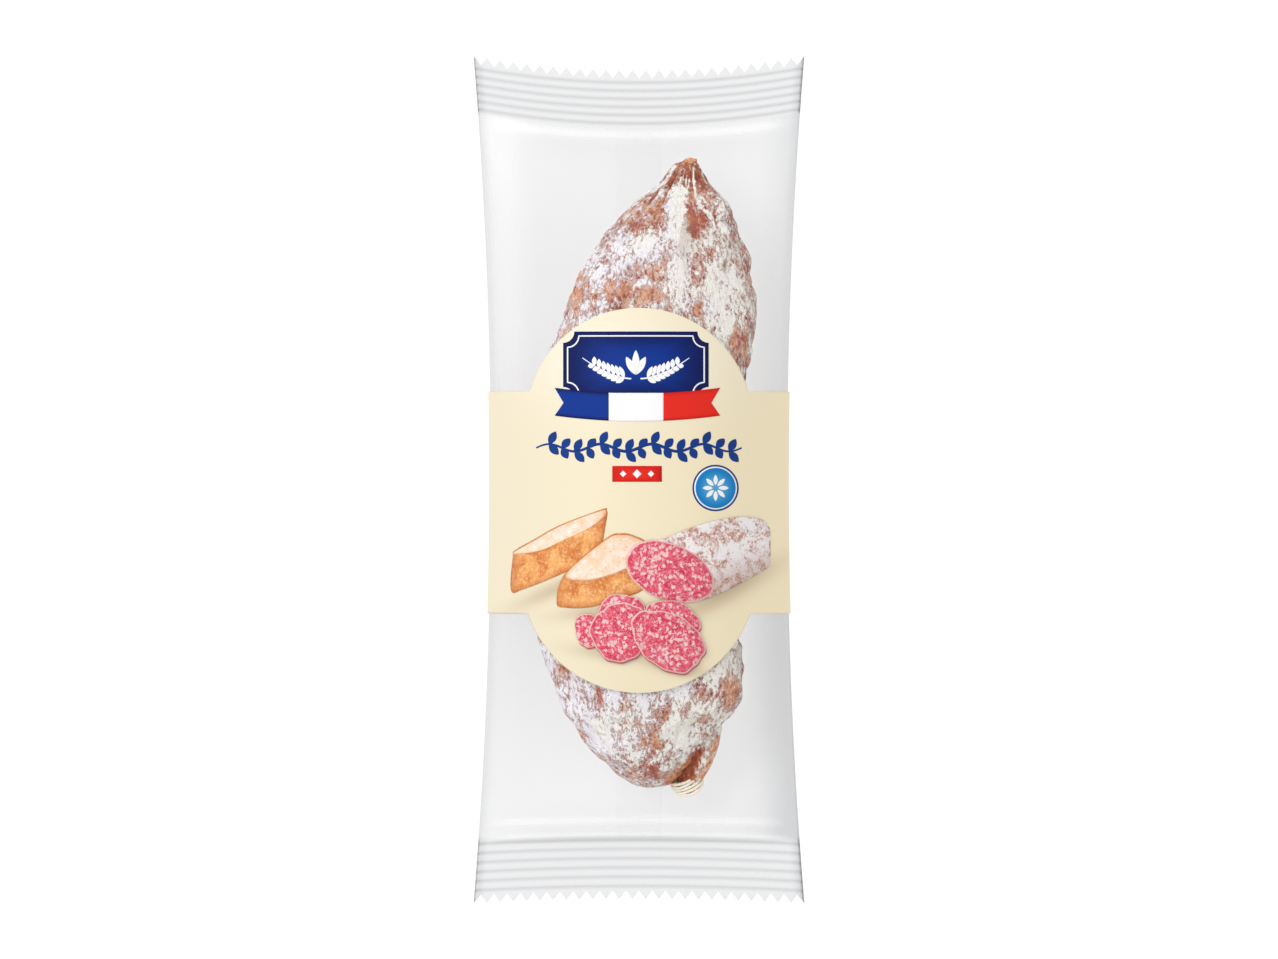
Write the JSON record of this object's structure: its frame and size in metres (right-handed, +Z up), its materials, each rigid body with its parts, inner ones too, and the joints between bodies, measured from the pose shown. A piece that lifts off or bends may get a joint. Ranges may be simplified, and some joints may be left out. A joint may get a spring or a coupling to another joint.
{
  "type": "cured sausage in a clear film pack",
  "caption": "White-bloomed cured sausage, tied with string, sealed in a clear crimped flow pack with a cream wrap-round label.",
  "frame": {"origin": "the middle of the underside, on the surface the pack lies on", "axes": "+X across the pack, +Y along it towards the sausage's pointed end, +Z up through the label"},
  "size_m": [0.086, 0.2202, 0.0476],
  "materials": {
    "sausage": "natural casing with a dry white bloom",
    "tie_string": "twisted food string",
    "film_wrapper": "clear film",
    "label": "coated cream paper"
  },
  "bodies": {
    "root": {"sausage": "sausage", "tie_string": "tie_string", "film_wrapper": "film_wrapper", "label": "label"}
  },
  "joints": []
}
